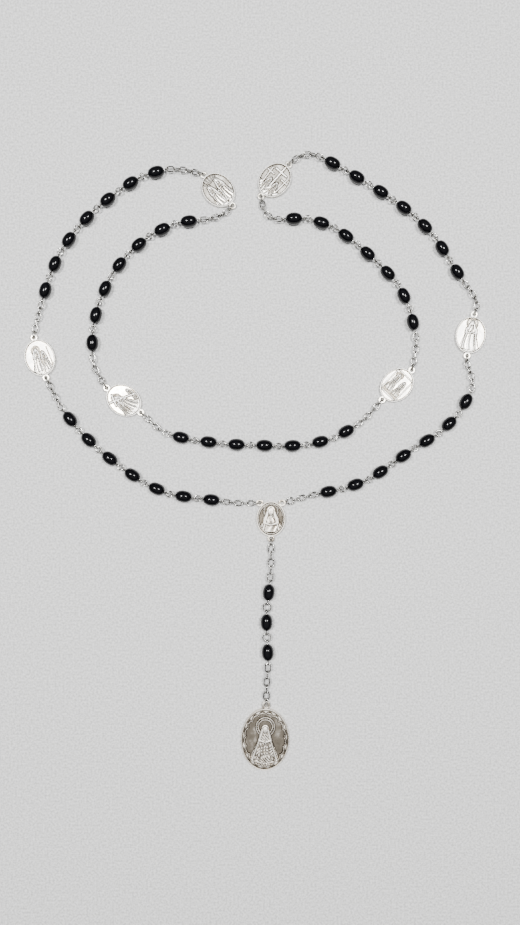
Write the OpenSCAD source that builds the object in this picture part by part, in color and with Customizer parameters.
// A seven-sorrows rosary, laid flat on a table with the middle of its loop folded inwards.
// Seven groups of seven oval beads are joined by chains to six side medals and a centrepiece,
// and a three-bead pendant carries the end medal.
// Origin: middle of the centrepiece's flat back. +Y points into the loop and +Z up from the table.

/* [Beads] */
// Length of an oval bead along its bore
bead_length = 8.4; // [8:0.1:8.6]
// Diameter of an oval bead at its middle
bead_width = 6; // [5.4:0.1:6.4]
// Diameter of the bore through a bead
bead_bore = 1.1; // [0.9:0.1:1.5]

/* [Wire] */
// Diameter of the wire of every pin, ring and link
wire = 0.7; // [0.6:0.02:0.72]
// Distance between the middles of two wires where one hooks the other
hook = 0.78; // [0.76:0.01:0.8]
// Radius of a pin's eye, to the middle of the wire
eye_radius = 0.85; // [0.84:0.01:0.9]
// Radius of the ring between two beads, to the middle of the wire
ring_radius = 1.45; // [1.42:0.01:1.48]
// Radius of the ring between two pendant beads, to the middle of the wire
pendant_ring_radius = 1.95; // [1.8:0.05:2.1]
// Radius of the ring through an ear, to the middle of the wire
ear_ring_radius = 1.7; // [1.66:0.01:1.74]
// Length of a chain link, between the middles of its two end wires
link_length = 3.85; // [3.8:0.05:3.9]
// Width of a chain link, between the middles of its two long wires
link_width = 2.4; // [2.3:0.05:2.6]
// Length of a link of the pendant, between the middles of its two end wires
pendant_link_length = 4.35; // [4.3:0.05:4.4]
// Width of a link of the pendant, between the middles of its two long wires
pendant_link_width = 2.7; // [2.6:0.05:2.9]

/* [Medals] */
// Width of a side medal across its oval
medal_width = 15; // [13:0.5:16]
// Height of a side medal's oval
medal_height = 18.5; // [18:0.1:18.8]
// Thickness of a side medal
medal_thickness = 1.4; // [1.2:0.1:1.6]
// Distance between a side medal's two ear holes
ear_spacing = 21; // [20.8:0.1:21.2]
// Width of the centrepiece's oval
centre_width = 14.5; // [14:0.1:14.8]
// Height of the centrepiece's oval
centre_height = 17.6; // [17.2:0.1:17.8]
// Width of the end medal's oval
end_width = 24; // [22:0.5:26]
// Height of the end medal's oval
end_height = 31; // [29:0.5:32]
// Thickness of the centrepiece and of the end medal
casting_thickness = 2; // [1.8:0.1:2.2]
// Diameter of the hole in an ear
ear_hole = 1.6; // [1.5:0.05:1.7]
// Diameter of the hole in the end medal's ear
end_ear_hole = 2; // [1.9:0.05:2.1]

/* [Hidden] */
ear_radius = 1.8;
end_ear_radius = 2.1;
ear_thickness = 0.8;
ear_top = 2;
relief = 0.3;
groups = 7;
beads_per_group = 7;
links_per_chain = 5;

eye_offset = bead_length / 2 + eye_radius + wire / 2 + 0.1;
bead_z = bead_width / 2;
ear_ring_z = ear_ring_radius + wire / 2;
medal_z = ear_top - ear_thickness / 2 - medal_thickness / 2;

// straight distances between the two crossings at the ends of each kind of piece
pin_step = 2 * (eye_offset + eye_radius) - hook;
ring_step = 2 * ring_radius - hook;
pendant_ring_step = 2 * pendant_ring_radius - hook;
link_step = link_length - hook;
pendant_link_step = pendant_link_length - hook;
ear_step = 3;

left_ear = [-5.6, 7.9];
right_ear = [5.6, 7.9];
bottom_ear = [0, -10];

// where the loop lies on the table, from the centrepiece's left ear round to its right ear
loop_route = [
    left_ear, [-18, 8], [-32, 10], [-46, 11], [-59, 15], [-71, 23], [-82, 31], [-93, 41], [-102, 51],
    [-108, 61], [-113, 71], [-119, 91], [-118, 97], [-115, 107], [-112, 118], [-107, 131], [-99, 143],
    [-90, 153], [-79, 162], [-68, 170], [-55, 175], [-45, 175], [-34, 173], [-19, 157], [-21, 155],
    [-25, 152], [-28, 151], [-31, 150], [-44, 149], [-56, 145], [-67, 137], [-77, 127], [-83, 116],
    [-88, 103], [-90, 89], [-89, 77], [-83, 66], [-66, 54], [-56, 45], [-47, 40], [-34, 39], [-20, 37],
    [-5, 37], [10, 36], [25, 38], [38, 43], [48, 51], [56, 60], [71, 75], [73, 88], [71, 100],
    [67, 113], [59, 123], [48, 133], [38, 142], [26, 149], [14, 151], [6, 150], [2, 150], [-2, 152],
    [-4, 156], [-5, 162], [9, 178], [13, 181], [18, 183], [23, 182], [31, 178], [43, 171], [56, 163],
    [68, 155], [79, 145], [87, 134], [93, 122], [98, 117], [103, 110], [103, 105], [100, 98], [98, 78],
    [100, 73], [101, 68], [100, 62], [97, 57], [90, 47], [78, 39], [66, 32], [55, 23], [42, 16],
    [29, 14], [17, 11], right_ear
];

// where the pendant lies, from the centrepiece's bottom ear down to the end medal
pendant_route = [bottom_ear, [0, -24], [-1, -37], [-3, -52], [-1, -68], [-2, -80], [-3, -111]];

// the straight steps of a chain, a row of beads joined by rings, and the chain after it
function row_steps(beads, between, link) =
    let (links = [for (i = [1:links_per_chain]) link])
    concat([ear_step], links,
        [for (i = [0:2 * beads - 2]) i % 2 == 0 ? pin_step : between],
        links, [ear_step]);

group_steps = row_steps(beads_per_group, ring_step, link_step);
block = len(group_steps) + 1;
loop_steps = [for (g = [1:groups]) each concat(group_steps, [ear_spacing])];
pendant_steps = row_steps(3, pendant_ring_step, pendant_link_step);

// first place on a route, from its stretch i on, that is a straight distance step from point p
function place_after(route, p, step, i) =
    norm(route[i + 1] - p) < step && i + 2 < len(route)
    ? place_after(route, p, step, i + 1)
    : let (d = route[i + 1] - route[i],
           f = route[i] - p,
           a = d * d,
           b = f * d,
           c = f * f - step * step)
      [route[i] + d * (-b + sqrt(max(0, b * b - a * c))) / a, i];

function walk(route, steps, p, n = 0, i = 0) =
    n == len(steps) ? [p] :
    let (next = place_after(route, p, steps[n], i))
    concat([p], walk(route, steps, next[0], n + 1, next[1]));

// height of a crossing: down at the ear rings, up at the bead's middle
function crossing_z(q, last) =
    let (from_ear = min(q, last - q) - 1)
    ear_ring_z + (bead_z - ear_ring_z) * max(0, min(1, from_ear / links_per_chain));

function raised(points, size) = [for (i = [0:len(points) - 1])
    [points[i][0], points[i][1], crossing_z(i % (size + 1), size)]];

loop_at = raised(walk(loop_route, loop_steps, left_ear), block - 1);
pendant_at = raised(walk(pendant_route, pendant_steps, bottom_ear), len(pendant_steps));

loop_names = [for (g = [1:groups]) for (b = [1:beads_per_group]) str("septet_", g, "_bead_", b)];
pendant_names = [for (b = [1:3]) str("pendant_bead_", b)];
medal_names = [for (m = [1:groups - 1]) str("side_medal_", m)];

function oval(width, height, sides = 48) =
    [for (i = [0:sides - 1]) [width / 2 * cos(360 * i / sides), height / 2 * sin(360 * i / sides)]];

// the solids between two crossings lie along X, and roll 0 is flat, 90 upright
module between(a, b, roll = 0) {
    d = b - a;
    translate((a + b) / 2)
        rotate([0, -asin(d[2] / norm(d)), atan2(d[1], d[0])])
            rotate([roll, 0, 0])
                children();
}

module ring(radius) {
    color("silver")
        rotate_extrude($fn = 48)
            translate([radius, 0])
                circle(d = wire, $fn = 24);
}

module chain_link(length, width) {
    straight = length - width;
    color("silver") {
        for (side = [-1, 1]) {
            translate([0, side * width / 2, 0])
                rotate([0, 90, 0])
                    cylinder(d = wire, h = straight, center = true, $fn = 24);
            translate([side * straight / 2, 0, 0])
                rotate([0, 0, -90 * side])
                    rotate_extrude(angle = 180, $fn = 48)
                        translate([width / 2, 0])
                            circle(d = wire, $fn = 24);
        }
    }
}

module bead() {
    outline = [for (i = [0:20]) [bead_width / 2 * sin(9 * i), -bead_length / 2 * cos(9 * i)]];
    color([0.04, 0.04, 0.045])
        rotate([0, 90, 0])
            difference() {
                rotate_extrude($fn = 64)
                    polygon(outline);
                cylinder(d = bead_bore, h = 2 * bead_length, center = true, $fn = 32);
            }
}

module eye_pin() {
    color("silver") {
        rotate([0, 90, 0])
            cylinder(d = wire - 0.1, h = 2 * (eye_offset - eye_radius), center = true, $fn = 24);
        for (side = [-1, 1])
            translate([side * eye_offset, 0, 0])
                ring(eye_radius);
    }
}

// the ring through an ear hooks the chain at b and passes through the hole at a
module ear_ring(a, b) {
    level = [a[0], a[1], b[2]];
    away = (b - level) / norm(b - level);
    middle = b + away * (hook / 2 - ear_ring_radius);
    between(middle - away, middle + away, 90)
        ring(ear_ring_radius);
}

module chain_part(at, first, last) {
    size = len(at) > block ? [link_length, link_width] : [pendant_link_length, pendant_link_width];
    for (i = [first:last])
        between(at[i], at[i + 1], 90 * ((i - first_of_chain(i, at)) % 2))
            chain_link(size[0], size[1]);
}

// the piece number of the first, flat, link of the chain that piece i belongs to
function first_of_chain(i, at) =
    let (size = len(at) > block ? block : len(at), q = i % size)
    i - q + (q <= links_per_chain ? 1 : size - 2 - links_per_chain);

// a bead on its pin, the ring that follows it, and its half of the chain at the end of a row
module bead_unit(at, first, number, count, radius, links_after) {
    pin = first + 1 + links_per_chain + 2 * number;
    between(at[pin], at[pin + 1])
        bead();
    between(at[pin], at[pin + 1], 90)
        eye_pin();
    if (number < count - 1)
        between(at[pin + 1], at[pin + 2])
            ring(radius);
    if (number == 0)
        chain_part(at, first + 3, first + 5);
    if (number == count - 1)
        chain_part(at, pin + 1, pin + links_after);
}

// the ring through an ear and the two links next to it
module chain_from_ear(at, first) {
    ear_ring(at[first], at[first + 1]);
    chain_part(at, first + 1, first + 2);
}

module chain_to_ear(at, last) {
    ear_ring(at[last + 1], at[last]);
    chain_part(at, last - 2, last - 1);
}

module ear(radius = ear_radius) {
    translate([0, 0, ear_top - ear_thickness])
        cylinder(r = radius, h = ear_thickness, $fn = 48);
}

module ear_bore(hole = ear_hole) {
    cylinder(d = hole, h = 3 * ear_top, center = true, $fn = 32);
}

module oval_plate(width, height, thickness, rim) {
    difference() {
        linear_extrude(thickness)
            polygon(oval(width, height));
        translate([0, 0, thickness - relief])
            linear_extrude(thickness)
                polygon(oval(width - 2 * rim, height - 2 * rim));
    }
}

// a robed figure in low relief, from its hem at -half to its halo at +half
module figure(half, depth) {
    linear_extrude(depth)
        polygon([[-0.5 * half, -half], [0.5 * half, -half], [0.16 * half, 0.4 * half],
            [-0.16 * half, 0.4 * half]]);
    translate([0, 0.55 * half, 0])
        cylinder(r = 0.26 * half, h = depth, $fn = 32);
}

// the figure on a side medal stands with its head towards the far end of the loop
module side_medal(number) {
    start = block * number - 1;
    a = loop_at[start];
    b = loop_at[start + 1];
    head = b[1] > a[1] ? b - a : a - b;
    color("silver")
        translate([(a[0] + b[0]) / 2, (a[1] + b[1]) / 2, 0])
            rotate([0, 0, atan2(head[1], head[0]) - 90])
                difference() {
                    union() {
                        translate([0, 0, medal_z])
                            oval_plate(medal_width, medal_height, medal_thickness, 1);
                        for (side = [-1, 1])
                            translate([0, side * ear_spacing / 2, 0])
                                ear();
                        translate([0, 0, medal_z + medal_thickness / 2])
                            figure(0.38 * medal_height, medal_thickness / 2 - relief / 3);
                    }
                    for (side = [-1, 1])
                        translate([0, side * ear_spacing / 2, 0])
                            ear_bore();
                }
    chain_to_ear(loop_at, start - 1);
    chain_from_ear(loop_at, start + 1);
}

module centrepiece() {
    color("silver")
        difference() {
            union() {
                oval_plate(centre_width, centre_height, casting_thickness, 1.4);
                for (place = [left_ear, right_ear, bottom_ear])
                    translate(place)
                        ear();
                translate([0, -0.5, casting_thickness / 2])
                    figure(0.36 * centre_height, casting_thickness / 2);
            }
            for (place = [left_ear, right_ear, bottom_ear])
                translate(place)
                    ear_bore();
        }
    chain_from_ear(loop_at, 0);
    chain_from_ear(pendant_at, 0);
}

module end_medal() {
    last = len(pendant_at) - 1;
    a = pendant_at[last - 1];
    b = pendant_at[last];
    down = end_height / 2 + end_ear_radius - 0.4;
    color("silver")
        translate([b[0], b[1], 0])
            rotate([0, 0, atan2(b[1] - a[1], b[0] - a[0]) + 90])
                difference() {
                    union() {
                        translate([0, -down, 0])
                            oval_plate(end_width, end_height, casting_thickness, 3);
                        translate([0, -down, casting_thickness / 2])
                            figure(0.38 * end_height, casting_thickness / 2);
                        ear(end_ear_radius);
                    }
                    ear_bore(end_ear_hole);
                }
    chain_to_ear(pendant_at, last - 1);
}

// the last chain ends in a ring that lies flat beside the centrepiece's right ear
module last_ring() {
    i = len(loop_at) - 4;
    away = (loop_at[i + 1] - loop_at[i]) / norm(loop_at[i + 1] - loop_at[i]);
    middle = loop_at[i] + away * (ear_ring_radius - hook / 2);
    between(middle - away, middle + away)
        ring(ear_ring_radius);
}

for (g = [0:groups - 1])
    for (b = [0:beads_per_group - 1])
        union() {
            bead_unit(loop_at, block * g, b, beads_per_group, ring_radius, g == groups - 1 ? 4 : 3);
            if (g == groups - 1 && b == beads_per_group - 1)
                last_ring();
        }
for (b = [0:2])
    bead_unit(pendant_at, 0, b, 3, pendant_ring_radius, 3);
for (m = [1:groups - 1])
    side_medal(m);
centrepiece();
end_medal();
